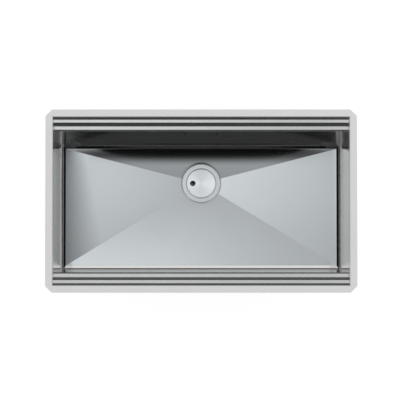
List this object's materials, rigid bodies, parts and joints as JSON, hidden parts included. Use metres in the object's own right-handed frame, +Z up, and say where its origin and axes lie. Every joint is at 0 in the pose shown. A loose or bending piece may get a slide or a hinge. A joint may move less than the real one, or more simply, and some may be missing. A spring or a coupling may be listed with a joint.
{
  "type": "undermount kitchen sink",
  "caption": "Undermount stainless steel kitchen sink with stepped ledges for accessories, a faceted floor, a lift-out strainer basket and drain cover, and a piped slot overflow.",
  "frame": {"origin": "centre of the bowl's opening, in the plane of the flange's top face, which lies against the worktop's underside", "axes": "+X along the sink to the right, +Y towards its back, where the drain and the overflow are, +Z up"},
  "size_m": [0.85, 0.5, 0.35],
  "materials": {
    "bowl_steel": "satin, finely brushed along the sink",
    "drain_steel": "bright, brushed in circles",
    "white_plastic": "moulded, satin",
    "grey_plastic": "moulded, satin",
    "rubber": "smooth, matt",
    "pad_rubber": "matt sound-deadening sheet",
    "brass": "turned"
  },
  "bodies": {
    "sink": {"bowl": "bowl_steel", "overflow_plate": "bowl_steel", "drain_rim": "drain_steel", "clamp_screw": "drain_steel", "housing_studs": "drain_steel", "housing_nuts": "drain_steel", "plate_screws": "drain_steel", "waste_body": "white_plastic", "outlet_nut": "white_plastic", "outlet_pipe": "white_plastic", "overflow_pipe": "white_plastic", "overflow_elbow": "white_plastic", "pipe_nuts": "white_plastic", "overflow_housing": "grey_plastic", "rim_gasket": "rubber", "body_gasket": "rubber", "outlet_seal": "rubber", "overflow_gasket": "rubber", "pipe_seals": "rubber", "pad_floor_left": "pad_rubber", "pad_floor_right": "pad_rubber", "pad_left": "pad_rubber", "pad_right": "pad_rubber", "pad_front": "pad_rubber", "pad_back_left": "pad_rubber", "pad_back_right": "pad_rubber", "screw_insert": "brass"},
    "basket": {"strainer_basket": "drain_steel", "basket_seal": "rubber", "basket_knob": "drain_steel"},
    "cover": {"drain_cover": "drain_steel"}
  },
  "joints": [
    {"name": "basket_lift", "type": "slide", "parent": "sink", "child": "basket", "axis": [0, 0, 1], "range_m": [0, 0.3]},
    {"name": "cover_lift", "type": "slide", "parent": "basket", "child": "cover", "axis": [0, 0, 1], "range_m": [0, 0.26]}
  ]
}
